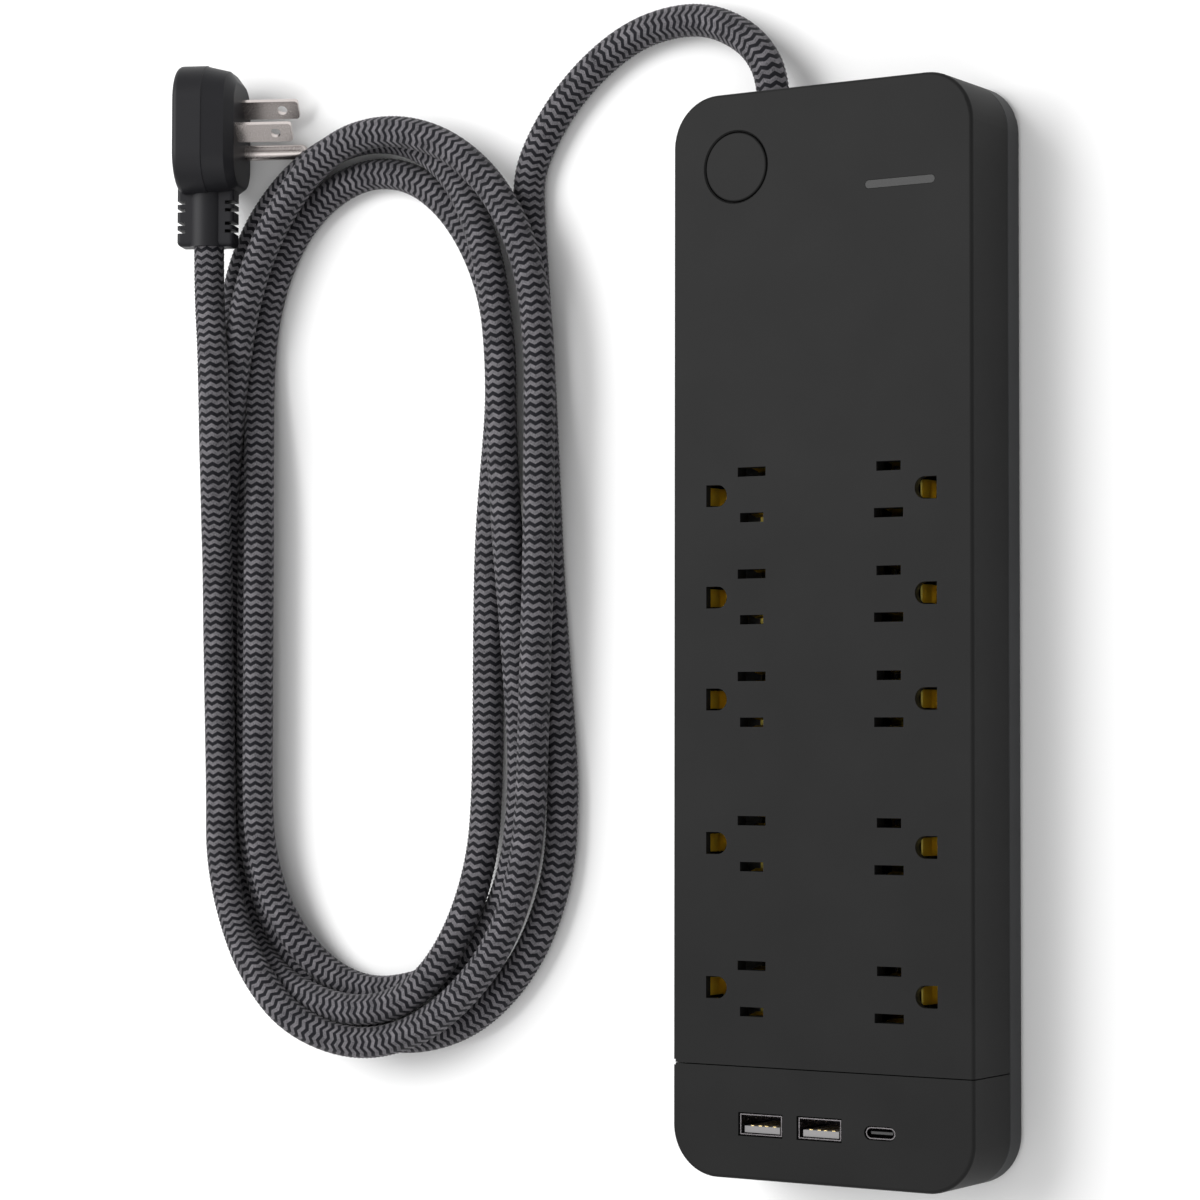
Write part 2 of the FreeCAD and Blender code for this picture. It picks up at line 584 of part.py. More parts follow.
def make_usb_board():
    """USB charger board, its transformer and its capacitors."""
    export("usb_board", box(-31, 31, -147, -112, USB_BOARD_Z, USB_TOP_Z))
    core = box(17, 31, -127, -114, USB_TOP_Z, USB_TOP_Z + 11)
    winding = box(18.5, 29.5, -130, -111.5, USB_TOP_Z + 2.5, USB_TOP_Z + 8.5)
    export("usb_transformer", core.fuse(winding).removeSplitter())
    cans = [rod(r, x, USB_CAN_Y, USB_TOP_Z, USB_TOP_Z + h) for r, x, h in USB_CANS]
    export("usb_capacitors", Part.makeCompound(cans))


def make_usb_a(index, x):
    """Upright USB-A socket: metal shell, plastic tongue and its four contacts."""
    half_w = USB_A_SHELL[0] / 2
    half_h = USB_A_SHELL[1] / 2
    skin = 0.3
    shell = box(x - half_w, x + half_w, USB_Y - half_h, USB_Y + half_h, USB_TOP_Z, USB_SHELL_TOP)
    inside = box(x - half_w + skin, x + half_w - skin, USB_Y - half_h + skin, USB_Y + half_h - skin, 13, 40)
    export("usb_a_shell_%d" % index, shell.cut(inside))
    tongue = box(x - 5.55, x + 5.55, USB_Y - 2.3, USB_Y - 0.5, 13.0, USB_SHELL_TOP - 0.7)
    top = USB_SHELL_TOP - 1.4
    grooves = [box(px - 0.5, px + 0.5, USB_Y - 0.7, USB_Y, 15.0, top) for px in contact_x(x)]
    export("usb_a_tongue_%d" % index, tongue.cut(grooves))
    return [box(px - 0.5, px + 0.5, USB_Y - 0.7, USB_Y - 0.35, 15.0, top) for px in contact_x(x)]


def contact_x(x):
    """Places of a USB-A socket's four contacts across its width."""
    return [x + offset for offset in (-3.5, -1.0, 1.0, 3.5)]


def make_usb_c():
    """Upright USB-C socket: metal shell and tongue."""
    width, height = USB_C_SHELL
    shell = oblong(width, height, USB_C_X, USB_Y, USB_TOP_Z, USB_SHELL_TOP)
    export("usb_c_shell", shell.cut(oblong(width - 0.6, height - 0.6, USB_C_X, USB_Y, 20, 40)))
    tongue = box(USB_C_X - 3.35, USB_C_X + 3.35, USB_Y - 0.35, USB_Y + 0.35, 20, USB_SHELL_TOP - 0.9)
    export("usb_c_tongue", tongue)


def make_usb_ports():
    """All three sockets."""
    contacts = []
    for index, x in enumerate(USB_A_X, 1):
        contacts += make_usb_a(index, x)
    export("usb_contacts", Part.makeCompound(contacts))
    make_usb_c()


# ---------------------------------------------------------------- lead

def clamp_screw_x():
    """Places of the two clamp screws across the lead."""
    return (CORD_EXIT_X - CLAMP_SCREW_OFF, CORD_EXIT_X + CLAMP_SCREW_OFF)


def turned(profile):
    """Solid of revolution about the lead's exit axis from (radius, y) points."""
    points = [(CORD_EXIT_X + r, y, CORD_EXIT_Z) for r, y in profile]
    wire = Part.makePolygon([V(*p) for p in points] + [V(*points[0])])
    return Part.Face(wire).revolve(V(CORD_EXIT_X, 0, CORD_EXIT_Z), Y_AXIS, 360)


def make_bush(arch):
    """Tapered strain relief held in the end wall."""
    inner = HALF_L - WALL
    profile = [(3.0, BUSH_Y[0]), (5.6, BUSH_Y[0]), (6.1, inner - 2.2), (8.2, inner - 2.2), (8.2, inner - 0.1),
               (6.6, inner - 0.1), (6.6, HALF_L + 0.4), (5.6, BUSH_Y[1]), (3.0, BUSH_Y[1])]
    export("cord_bush", turned(profile).cut(arch))


def make_clamp():
    """Bar that arches over the strain relief's tail, and its two screws."""
    half_x, half_y = CLAMP_HALF
    y0 = CLAMP_Y - half_y
    y1 = CLAMP_Y + half_y
    top = CORD_EXIT_Z + CLAMP_THICK
    bar = box(CORD_EXIT_X - half_x, CORD_EXIT_X + half_x, y0, y1, CORD_EXIT_Z, top)
    upper = box(-REACH, REACH, y0, y1, CORD_EXIT_Z, REACH)
    bar = bar.fuse(bush_hole(CLAMP_ARCH_R[1], y0, y1).common(upper))
    holes = [rod(CLAMP_SCREW_R + 0.4, x, CLAMP_Y, 5, 30) for x in clamp_screw_x()]
    export("cord_clamp", bar.cut([bush_hole(CLAMP_ARCH_R[0], 130, 150)] + holes).removeSplitter())
    screws = []
    for x in clamp_screw_x():
        head = rod(CLAMP_HEAD_R, x, CLAMP_Y, top, top + 1.6)
        screws.append(head.fuse(rod(CLAMP_SCREW_R, x, CLAMP_Y, 6, top + 0.4)).removeSplitter())
    export("clamp_screws", Part.makeCompound(screws))


def make_leads():
    """The three insulated cores from the lead's end, and the switched core."""
    for name, route in CORE_ROUTES.items():
        export(name, tube(route, CORE_R)[0])


def half_ellipse(spec, sign):
    """Half of an upright ellipse, above (1) or below (-1) its centre."""
    x, y, half_w, half_l = spec
    outline = Part.Ellipse(V(x, y + half_l, 0), V(x + half_w, y, 0), V(x, y, 0)).toShape()
    start = y if sign > 0 else y - REACH
    return outline.common(box(x - REACH, x + REACH, start, start + REACH, -1, 1)).Edges


def stadium(top, bottom):
    """Closed face of two half ellipses joined by straight sides."""
    edges = half_ellipse(top, 1) + half_ellipse(bottom, -1)
    for side in (-1, 1):
        high = V(top[0] + side * top[2], top[1], 0)
        low = V(bottom[0] + side * bottom[2], bottom[1], 0)
        edges.append(Part.LineSegment(high, low).toShape())
    return Part.Face(Part.Wire(Part.__sortEdges__(edges)))


def coil_prism(z0, z1):
    """The coil's plan shape between two heights."""
    outer = stadium(COIL_OUTER_TOP, COIL_OUTER_BOTTOM)
    inner = stadium(COIL_INNER_TOP, COIL_INNER_BOTTOM)
    prism_at_zero = outer.cut(inner).extrude(V(0, 0, z1 - z0))
    prism_at_zero.translate(V(0, 0, z0))
    return prism_at_zero


def make_coil():
    """Outer shape of the coiled lead, with room for the plug that rests on it."""
    over_coil = box(*RELIEF_SPACE, COIL_TOP_Z + 1)
    beside_coil = box(*PIN_SPACE[:4], -1, PIN_SPACE[4])
    return coil_prism(0, COIL_TOP_Z).cut([over_coil, beside_coil])


def make_run(name, route, coil):
    """One uncoiled run of the lead, ended where it meets the coil."""
    bar, length, radii = tube(route, CORD_R)
    ratio = bar.Volume / (math.pi * CORD_R ** 2 * length)
    print(name, "length %.1f volume ratio %.4f radii" % (length, ratio), ["%.0f" % r for r in radii])
    export(name, bar.cut(coil))
    return bar


def make_cord():
    """Lead from the strain relief to the plug; returns its two uncoiled runs."""
    coil = make_coil()
    export("cord_coil", coil)
    arch = make_run("cord_arch", ARCH_ROUTE, coil_prism(-1, COIL_TOP_Z))
    tail = make_run("cord_tail", TAIL_ROUTE, coil)
    return arch, tail


# ---------------------------------------------------------------- plug

def plug_frame():
    """Placement of the plug: X along its prongs, Y towards its lead, Z across and downwards."""
    tilt = math.radians(PLUG_TILT)
    prong = V(math.cos(tilt), 0, -math.sin(tilt))
    lead = V(0, -1, 0)
    across = prong.cross(lead)
    matrix = FreeCAD.Matrix(prong.x, lead.x, across.x, PLUG_CENTRE.x,
                            prong.y, lead.y, across.y, PLUG_CENTRE.y,
                            prong.z, lead.z, across.z, PLUG_CENTRE.z, 0, 0, 0, 1)
    return FreeCAD.Placement(matrix)


def placed(shape):
    """Shape moved from plug coordinates to where the plug lies."""
    shape.Placement = plug_frame().multiply(shape.Placement)
    return shape


def plug_section(x, far_in, near_in, side_in):
    """Rounded outline across the prongs at a place along them."""
    y0 = -PLUG_HALF[0] + far_in
    y1 = PLUG_HALF[0] - near_in
    z1 = PLUG_HALF[1] - side_in
    r = PLUG_CORNER_R - side_in
    slab = Part.makeBox(1, y1 - y0, 2 * z1, V(x, y0, -z1))
    slab = slab.makeFillet(r, [e for e in slab.Edges if e.BoundBox.XLength > 0.9])
    end = [f for f in slab.Faces if f.BoundBox.XMax < x + 1e-6]
    return end[0].OuterWire


def plug_shell():
    """Body of the plug: a straight back half and a front half that narrows."""
    wires = [plug_section(*section) for section in PLUG_SECTIONS]
    spans = [Part.makeLoft([a, b], True, True) for a, b in zip(wires, wires[1:])]
    body = spans[0].fuse(spans[1:]).removeSplitter()
    back = [e for e in body.Edges if e.BoundBox.XMax < PLUG_SECTIONS[0][0] + 0.01]
    front = [e for e in body.Edges if e.BoundBox.XMin > PLUG_SECTIONS[-1][0] - 0.01]
    return body.makeFillet(PLUG_BACK_EDGE_R, back).makeFillet(PLUG_FRONT_EDGE_R, front)


def prong_spots():
    """Each prong's place in the prong face as (along the lead, across)."""
    roll = math.radians(PLUG_ROLL)
    toward = (math.cos(roll), math.sin(roll))
    apart = (-math.sin(roll), math.cos(roll))
    middle = BLADE_LINE_BACK
    spot = {}
    for name, offset in (("plug_blade_line", BLADE_OFFSET), ("plug_blade_neutral", -BLADE_OFFSET)):
        spot[name] = (middle * toward[0] + offset * apart[0], middle * toward[1] + offset * apart[1])
    ground = middle + GROUND_OFFSET
    spot["plug_ground_pin"] = (ground * toward[0], ground * toward[1])
    return spot


def make_blade(place):
    """Flat blade with a detent hole, its flat side across the blades' line."""
    width, thick = BLADE_SIZE
    blade = box(PRONG_ROOT, BLADE_TIP, -width / 2, width / 2, -thick / 2, thick / 2)
    tip_edges = [e for e in blade.Edges if e.BoundBox.XMin > BLADE_TIP - 0.1 and e.BoundBox.YLength < 0.1]
    blade = blade.makeFillet(BLADE_CORNER_R, tip_edges)
    hole = rod(BLADE_HOLE_R, BLADE_TIP - BLADE_HOLE_FROM_TIP, 0, -2, 2)
    blade = blade.cut(hole)
    blade.rotate(V(0, 0, 0), X_AXIS, PLUG_ROLL)
    blade.translate(V(0, place[0], place[1]))
    return blade


def make_pin(place):
    """Round ground pin with a domed tip."""
    pin = Part.makeCylinder(PIN_R, PIN_TIP - PRONG_ROOT, V(PRONG_ROOT, place[0], place[1]), X_AXIS)
    tip = [e for e in pin.Edges if e.BoundBox.XMin > PIN_TIP - 0.1]
    return pin.makeFillet(PIN_R - 0.4, tip)


def relief_grooves():
    """Grooves across both edges of the strain relief's web."""
    deep, width = RELIEF_GROOVE
    grooves = []
    for y in RELIEF_GROOVE_Y:
        for side in (-1, 1):
            x = RELIEF_X + side * (RELIEF_WEB[0] - 1)
            grooves.append(box(x - deep, x + deep, y, y + width, -RELIEF_WEB[1] - 1, RELIEF_WEB[1] + 1))
    return grooves


def make_relief():
    """Grooved strain relief: a round core with a flat web on each side."""
    y0, y1 = RELIEF_Y
    root = y0 - 8
    half_w, half_t = RELIEF_WEB
    core = Part.makeCylinder(RELIEF_CORE_R, y1 - root, V(RELIEF_X, root, 0), Y_AXIS)
    web = box(RELIEF_X - half_w, RELIEF_X + half_w, y0 - 3, y1, -half_t, half_t)
    web = web.makeFillet(1.2, [e for e in web.Edges if e.BoundBox.YLength > 5])
    corners = [e for e in web.Edges if e.BoundBox.YMin > y1 - 0.01 and e.BoundBox.ZLength > 3]
    web = web.makeFillet(1.5, corners)
    dome = Part.makeSphere(RELIEF_CORE_R, V(RELIEF_X, root, 0))
    return core.fuse([web, dome]).cut(relief_grooves()).removeSplitter()


def make_plug(tail):
    """Moulded flat plug with two blades and a ground pin."""
    prongs = {}
    for name, place in prong_spots().items():
        prongs[name] = make_pin(place) if name == "plug_ground_pin" else make_blade(place)
    body = plug_shell()
    relief = make_relief().cut(body)
    export("plug_body", placed(body.cut(list(prongs.values()))))
    export("plug_relief", placed(relief).cut(tail))
    for name, prong in prongs.items():
        export(name, placed(prong))


def main():
    """Builds every sub-part."""
    os.makedirs("parts", exist_ok=True)
    make_base()
    make_covers()
    make_fasteners()
    for side, name in ((-1, "left"), (1, "right")):
        make_bars(side, name)
        make_carrier(side, name)
    make_button()
    make_switch()
    make_indicator()
    make_surge_board()
    make_usb_board()
    make_usb_ports()
    arch, tail = make_cord()
    make_bush(arch)
    make_clamp()
    make_leads()
    make_plug(tail)


main()
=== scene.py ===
import math

import bpy
import numpy as np
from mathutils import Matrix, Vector


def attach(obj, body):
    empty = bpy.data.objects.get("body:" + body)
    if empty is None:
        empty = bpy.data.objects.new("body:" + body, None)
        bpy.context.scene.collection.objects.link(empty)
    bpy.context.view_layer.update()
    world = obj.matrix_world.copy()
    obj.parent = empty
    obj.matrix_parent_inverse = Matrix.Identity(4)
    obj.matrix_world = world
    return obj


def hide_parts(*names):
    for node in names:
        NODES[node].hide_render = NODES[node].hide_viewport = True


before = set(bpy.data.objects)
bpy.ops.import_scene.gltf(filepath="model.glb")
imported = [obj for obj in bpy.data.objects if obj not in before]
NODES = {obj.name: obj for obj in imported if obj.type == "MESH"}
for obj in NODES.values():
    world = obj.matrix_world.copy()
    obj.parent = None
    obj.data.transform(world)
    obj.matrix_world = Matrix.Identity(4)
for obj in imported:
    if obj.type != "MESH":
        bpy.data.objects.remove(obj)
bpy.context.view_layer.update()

MM = 0.001

# Camera at the viewing angle that shows the outlet face and its right side
CAMERA_AT = (464.33 * MM, -28.65 * MM, 872.17 * MM)
CAMERA_TURN = (2.28, 32.47, 0.12)
CAMERA_LENS = 105.09
CAMERA_SENSOR = 36.0

# Lead
ARCH = (
    (-24.3, 148.0, 12.6), (-24.8, 157.5, 12.5), (-29.8, 166.5, 11.4), (-38.0, 173.2, 9.8),
    (-49.5, 178.3, 7.5), (-62.5, 179.3, 5.9), (-76.0, 176.8, 5.0), (-89.0, 169.8, 4.8),
    (-100.5, 159.7, 4.8), (-109.0, 148.0, 4.8), (-113.3, 138.0, 4.8), (-112.8, 126.0, 4.8),
    (-111.5, 108.0, 4.8),
)
TAIL = (
    (-222.3, 23.5, 15.5), (-220.4, 36.0, 18.6), (-218.1, 48.0, 22.0), (-217.3, 60.0, 23.7),
    (-217.5, 72.0, 23.9), (-218.5, 84.0, 23.2), (-220.1, 94.0, 21.8), (-221.6, 103.0, 20.8),
    (-223.0, 114.0, 19.7), (-223.4, 127.0, 19.3),
)

# The coil's innermost lane: an oval of two straight sides and two half ellipses
OVAL_X = -170.4
OVAL_HALF_WIDTH = 44.0
OVAL_TOP_Y = 85.0
OVAL_BOTTOM_Y = -50.0
OVAL_TOP_RISE = 58.7
OVAL_BOTTOM_RISE = 55.7
POINTS_PER_TURN = 36
# Where the lead lies as it goes round: (turns made, distance outside the innermost lane, height)
LANES = (
    (0.00, 17, 4.8), (0.06, 19, 4.8), (0.12, 21, 4.8), (0.205, 25.5, 4.8), (0.25, 26.8, 4.8),
    (0.275, 26.1, 4.8), (0.30, 24.4, 4.8), (0.325, 20, 4.8), (0.35, 16.4, 4.8), (0.365, 13.6, 4.8),
    (0.386, 9, 4.8), (0.40, 6.5, 4.8), (0.42, 4.3, 4.8), (0.45, 2.8, 4.8), (0.50, 2.6, 4.8),
    (0.605, 2.6, 4.8), (0.65, 2.8, 4.8), (0.68, 4.5, 4.8), (0.70, 7, 4.8), (0.72, 10, 4.8),
    (0.738, 13, 4.8), (0.77, 14.7, 4.8), (0.80, 13.6, 4.8), (0.83, 12.8, 4.8), (0.862, 12.2, 4.8),
    (0.90, 11.2, 4.8), (0.93, 9.8, 8), (0.95, 8.6, 11), (0.975, 8.3, 12.8),
    (1.00, 8.5, 12.8), (1.04, 8.7, 12.6), (1.10, 9, 9), (1.14, 10, 6.5), (1.205, 12, 4.8),
    (1.27, 10.8, 4.8), (1.30, 8, 4.8), (1.33, 3.2, 4.8), (1.35, 1.8, 4.8), (1.373, 1, 4.8),
    (1.386, 0.3, 5.5), (1.40, -1.5, 8), (1.42, -2.8, 9.5), (1.455, -4.3, 10.9), (1.50, -4.8, 10.9),
    (1.65, -4.8, 10.9), (1.68, -4, 10.2), (1.70, -2.4, 8), (1.72, -1, 6.2), (1.74, 0, 4.8),
    (1.79, 0.3, 4.8), (1.836, 0.2, 4.8), (1.862, 0.8, 4.8), (1.89, 1.3, 4.8), (1.927, 1.6, 4.8),
    (1.948, 2, 4.8), (1.98, 3.2, 4.8),
    (2.02, 3.5, 4.8), (2.04, 2.8, 4.8), (2.065, 1, 4.8), (2.09, -0.3, 4.8), (2.12, -0.8, 4.8),
    (2.20, -1, 4.8), (2.235, -0.6, 6), (2.266, 2.8, 10.5), (2.284, 5.2, 13.6), (2.318, 7.5, 14.4),
    (2.33, 7.7, 14.4), (2.351, 6.9, 14.4), (2.386, 6.4, 14.4), (2.40, 7.3, 14.4), (2.42, 10.6, 11.5),
    (2.44, 12.8, 6), (2.46, 12.9, 4.8), (2.50, 12.6, 4.8), (2.60, 12.6, 4.8), (2.62, 12.2, 6),
    (2.64, 10, 9.5), (2.66, 7.6, 13), (2.68, 5.4, 14.4), (2.70, 4, 14.4), (2.72, 2.7, 14.4),
    (2.738, 1.8, 14.4), (2.762, 0.9, 14.4), (2.775, 1.5, 14.4), (2.803, 2.6, 14.4), (2.83, 6.2, 14.4),
    (2.862, 11, 14.4), (2.90, 16, 14.4), (2.93, 20.5, 14.4), (2.965, 23.5, 14.4),
    (3.00, 23.6, 14.4), (3.10, 23.4, 14.4), (3.205, 21.4, 14.4), (3.24, 20.8, 14.4), (3.265, 20.5, 14.4),
    (3.284, 19.7, 14.4), (3.312, 17.8, 14.4), (3.34, 17.5, 14.4), (3.354, 17.3, 15), (3.37, 15.9, 17),
    (3.386, 13.9, 20.5), (3.40, 10.9, 22.6), (3.42, 9, 20.5), (3.44, 9.6, 16.2), (3.46, 9.6, 14.4),
    (3.50, 7.4, 13.7), (3.605, 8.9, 14.2),
)

SPLINE_RESOLUTION = 24

# Braided sleeve: bands along the lead, each of two rings, and how far their zigzag reaches
BRAID_PERIOD = 2.5
RINGS_PER_PERIOD = 4
BRAID_SIDES = 16
ZIGZAG = 0.95
RIDGE = (4.52, 4.78, 4.52, 4.72)

# Depths of surface relief, in metres
GRAIN_DEPTH = 0.00004
ROLLING_DEPTH = 0.00003
FILAMENT_DEPTH = 0.00012

# Scales of the noise that gives each surface its texture
CLOUD_SCALE = 35
GRAIN_SCALE = 9000
ROLLING_SCALE = 700
WEAR_SCALE = 260
FILAMENT_STRETCH = (210, 3.0, 1)

# Room
FLOOR_SIZE = 6
FLOOR_COLOUR = (0.86, 0.86, 0.86, 1)
FLOOR_ROUGHNESS = 0.9
WORLD_COLOUR = (1, 1, 1, 1)
WORLD_STRENGTH = 0.66
LIGHT_AIM = (-0.06, 0.0, 0.0)


# ---------------------------------------------------------------- camera

def make_camera():
    """Camera at the photograph's viewing angle."""
    data = bpy.data.cameras.new("camera")
    data.lens = CAMERA_LENS
    data.sensor_width = CAMERA_SENSOR
    data.clip_start = 0.01
    data.clip_end = 10
    camera = bpy.data.objects.new("camera", data)
    camera.location = CAMERA_AT
    camera.rotation_euler = [math.radians(a) for a in CAMERA_TURN]
    bpy.context.scene.collection.objects.link(camera)
    bpy.context.scene.camera = camera


# ---------------------------------------------------------------- lead

def half_perimeter(a, b):
    """Length of half an ellipse, closely enough to share points out."""
    return math.pi * math.sqrt((a * a + b * b) / 2)


def oval_point(turns, out, height):
    """Point of the coil after so many turns, at a distance outside the innermost lane."""
    straight = OVAL_TOP_Y - OVAL_BOTTOM_Y
    bottom = half_perimeter(OVAL_HALF_WIDTH, OVAL_BOTTOM_RISE)
    top = half_perimeter(OVAL_HALF_WIDTH, OVAL_TOP_RISE)
    along = (turns % 1.0) * (2 * straight + bottom + top)
    width = OVAL_HALF_WIDTH + out
    if along < straight:
        return (OVAL_X + width, OVAL_TOP_Y - along, height)
    along -= straight
    if along < bottom:
        angle = math.pi * along / bottom
        drop = (OVAL_BOTTOM_RISE + out) * math.sin(angle)
        return (OVAL_X + width * math.cos(angle), OVAL_BOTTOM_Y - drop, height)
    along -= bottom
    if along < straight:
        return (OVAL_X - width, OVAL_BOTTOM_Y + along, height)
    angle = math.pi * (along - straight) / top
    rise = (OVAL_TOP_RISE + out) * math.sin(angle)
    return (OVAL_X - width * math.cos(angle), OVAL_TOP_Y + rise, height)


def lane_at(turns):
    """Distance outside the innermost lane, and height, after so many turns."""
    spans = [(a, b) for a, b in zip(LANES, LANES[1:]) if a[0] <= turns <= b[0]]
    first, last = spans[0]
    share = (turns - first[0]) / (last[0] - first[0])
    return [a + (b - a) * share for a, b in zip(first[1:], last[1:])]


def cord_points():
    """Control points of the whole lead, in metres."""
    steps = int(LANES[-1][0] * POINTS_PER_TURN)
    coil = []
    for step in range(steps + 1):
        turns = step / POINTS_PER_TURN
        coil.append(oval_point(turns, *lane_at(turns)))
    return [Vector(p) * MM for p in (*ARCH, *coil, *TAIL)]


def spline_path(name, points):
    """Points read along one smooth spline."""
    curve = bpy.data.curves.new(name, "CURVE")
    curve.dimensions = "3D"
    curve.resolution_u = SPLINE_RESOLUTION
    spline = curve.splines.new("NURBS")
    spline.points.add(len(points) - 1)
    for place, point in zip(spline.points, points):
        place.co = (*point, 1)
    spline.order_u = 3
    spline.use_endpoint_u = True
    holder = bpy.data.objects.new(name, curve)
    bpy.context.scene.collection.objects.link(holder)
    mesh = bpy.data.meshes.new_from_object(holder)
    path = np.array([v.co[:] for v in mesh.vertices])
    bpy.data.objects.remove(holder)
    bpy.data.meshes.remove(mesh)
    bpy.data.curves.remove(curve)
    return path


def evenly(path, spacing):
    """The same line with points a fixed distance apart."""
    steps = np.linalg.norm(np.diff(path, axis=0), axis=1)
    along = np.concatenate([[0.0], np.cumsum(steps)])
    count = int(along[-1] / spacing)
    wanted = np.linspace(0.0, along[-1], count + 1)
    return np.stack([np.interp(wanted, along, path[:, k]) for k in range(3)], axis=1), along[-1]


def carried_frames(line):
    """Tangents and two cross directions that don't twist about the line."""
    tangents = np.gradient(line, axis=0)
    tangents /= np.linalg.norm(tangents, axis=1)[:, None]
    side = np.cross(tangents[0], (0.0, 0.0, 1.0))
    sides = []
    for tangent in tangents:
        side = side - tangent * side.dot(tangent)
        side = side / np.linalg.norm(side)
        sides.append(side)
    sides = np.array(sides)
    return tangents, sides, np.cross(sides, tangents)


def tube_faces(rings, sides):
    """Quads that join each ring of a tube to the next."""
    ring = np.arange(rings - 1)[:, None] * sides
    here = np.arange(sides)[None, :]
    there = (here + 1) % sides
    quads = np.stack([ring + here, ring + there, ring + there + sides, ring + here + sides], axis=-1)
    return quads.reshape(-1, 4)


def mesh_object(name, verts, faces, materials):
    """Mesh object with smooth faces."""
    mesh = bpy.data.meshes.new(name)
    mesh.from_pydata(verts, [], faces)
    for material in materials:
        mesh.materials.append(material)
    mesh.polygons.foreach_set("use_smooth", [True] * len(mesh.polygons))
    piece = bpy.data.objects.new(name, mesh)
    bpy.context.scene.collection.objects.link(piece)
    return piece


def add_braid_uv(mesh, rings, sides):
    """UV: turns round the lead, and periods of the braid along it."""
    layer = mesh.uv_layers.new(name="braid")
    quads = (rings - 1) * sides
    u = np.tile(np.arange(sides), rings - 1)
    v = np.repeat(np.arange(rings - 1), sides)
    corner_u = np.stack([u, u + 1, u + 1, u], axis=1) / sides
    corner_v = np.stack([v, v, v + 1, v + 1], axis=1) / RINGS_PER_PERIOD
    pairs = np.stack([corner_u, corner_v], axis=2).reshape(quads * 4, 2)
    whole = np.zeros((len(mesh.loops), 2))
    whole[:quads * 4] = pairs
    layer.data.foreach_set("uv", whole.ravel())


def braid_vertices(line):
    """Corners of the ridged tube's rings, with every other one pushed along into a zigzag."""
    rings = len(line)
    tangents, across, up = carried_frames(line)
    radius = np.array([RIDGE[k % RINGS_PER_PERIOD] for k in range(rings)]) * MM
    angle = np.arange(BRAID_SIDES) * 2 * math.pi / BRAID_SIDES
    shift = np.where(np.arange(BRAID_SIDES) % 2 == 0, ZIGZAG / 2, -ZIGZAG / 2) * MM
    ends = np.minimum(np.arange(rings), np.arange(rings)[::-1]) < RINGS_PER_PERIOD
    shift = np.where(ends[:, None], 0.0, shift[None, :])
    verts = (
        line[:, None, :]
        + (across[:, None, :] * np.cos(angle)[None, :, None]
           + up[:, None, :] * np.sin(angle)[None, :, None]) * radius[:, None, None]
        + tangents[:, None, :] * shift[:, :, None]
    )
    return verts.reshape(-1, 3)


def braid_slots(rings):
    """Material slot of each face: light and dark bands in turn, and dark ends."""
    rings_per_band = RINGS_PER_PERIOD // 2
    band = (np.arange(rings - 1) % RINGS_PER_PERIOD) // rings_per_band
    return np.concatenate([np.repeat(band, BRAID_SIDES), [1, 1]]).astype(np.int32)


def make_braided_cord(materials):
    """The whole lead: a tube of ridged zigzag bands, light and dark in turn."""
    path = spline_path("lead_line", cord_points())
    line, length = evenly(path, BRAID_PERIOD / RINGS_PER_PERIOD * MM)
    rings = len(line)
    quads = tube_faces(rings, BRAID_SIDES)
    first = list(range(BRAID_SIDES))[::-1]
    last = [(rings - 1) * BRAID_SIDES + k for k in range(BRAID_SIDES)]
    faces = quads.tolist() + [first, last]
    piece = mesh_object("braided_lead", braid_vertices(line).tolist(), faces, materials)
    piece.data.polygons.foreach_set("material_index", braid_slots(rings))
    add_braid_uv(piece.data, rings, BRAID_SIDES)
    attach(piece, "housing")
    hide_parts("cord_arch", "cord_coil", "cord_tail")


# ---------------------------------------------------------------- materials

class Graph:
    """A material's nodes, with short ways to add and link them."""

    def __init__(self, name):
        self.material = bpy.data.materials.new(name)
        self.material.use_nodes = True
        self.tree = self.material.node_tree
        self.shader = self.tree.nodes["Principled BSDF"]

    def node(self, kind, **settings):
        """New node; settings name its properties or, failing that, its inputs."""
        made = self.tree.nodes.new(kind)
        for key, value in settings.items():
            if hasattr(made, key):
                setattr(made, key, value)
            else:
                made.inputs[key.replace("_", " ")].default_value = value
        return made

    def link(self, source, target):
        """Joins an output to an input."""
        self.tree.links.new(source, target)

    def noise(self, scale, detail=3.0, coordinates="Object", stretch=(1, 1, 1)):
        """Noise in object or UV space, as a height from 0 to 1."""
        where = self.node("ShaderNodeTexCoord")
        mapping = self.node("ShaderNodeMapping")
        mapping.inputs["Scale"].default_value = stretch
        self.link(where.outputs[coordinates], mapping.inputs["Vector"])
        made = self.node("ShaderNodeTexNoise")
        made.inputs["Scale"].default_value = scale
        made.inputs["Detail"].default_value = detail
        self.link(mapping.outputs["Vector"], made.inputs["Vector"])
        return made.outputs["Fac"]

    def ramp(self, height, low, high, start=0.3, end=0.7):
        """Colour that goes from low to high with a height."""
        made = self.node("ShaderNodeValToRGB")
        made.color_ramp.elements[0].position = start
        made.color_ramp.elements[1].position = end
        made.color_ramp.elements[0].color = (*low, 1)
        made.color_ramp.elements[1].color = (*high, 1)
        self.link(height, made.inputs["Fac"])
        return made.outputs["Color"]

    def spread(self, height, low, high):
        """Number that goes from low to high with a height."""
        made = self.node("ShaderNodeMapRange")
        made.inputs["To Min"].default_value = low
        made.inputs["To Max"].default_value = high
        self.link(height, made.inputs["Value"])
        return made.outputs["Result"]

    def bump(self, height, strength, distance):
        """Surface relief from a height."""
        made = self.node("ShaderNodeBump")
        made.inputs["Strength"].default_value = strength
        made.inputs["Distance"].default_value = distance
        self.link(height, made.inputs["Height"])
        self.link(made.outputs["Normal"], self.shader.inputs["Normal"])


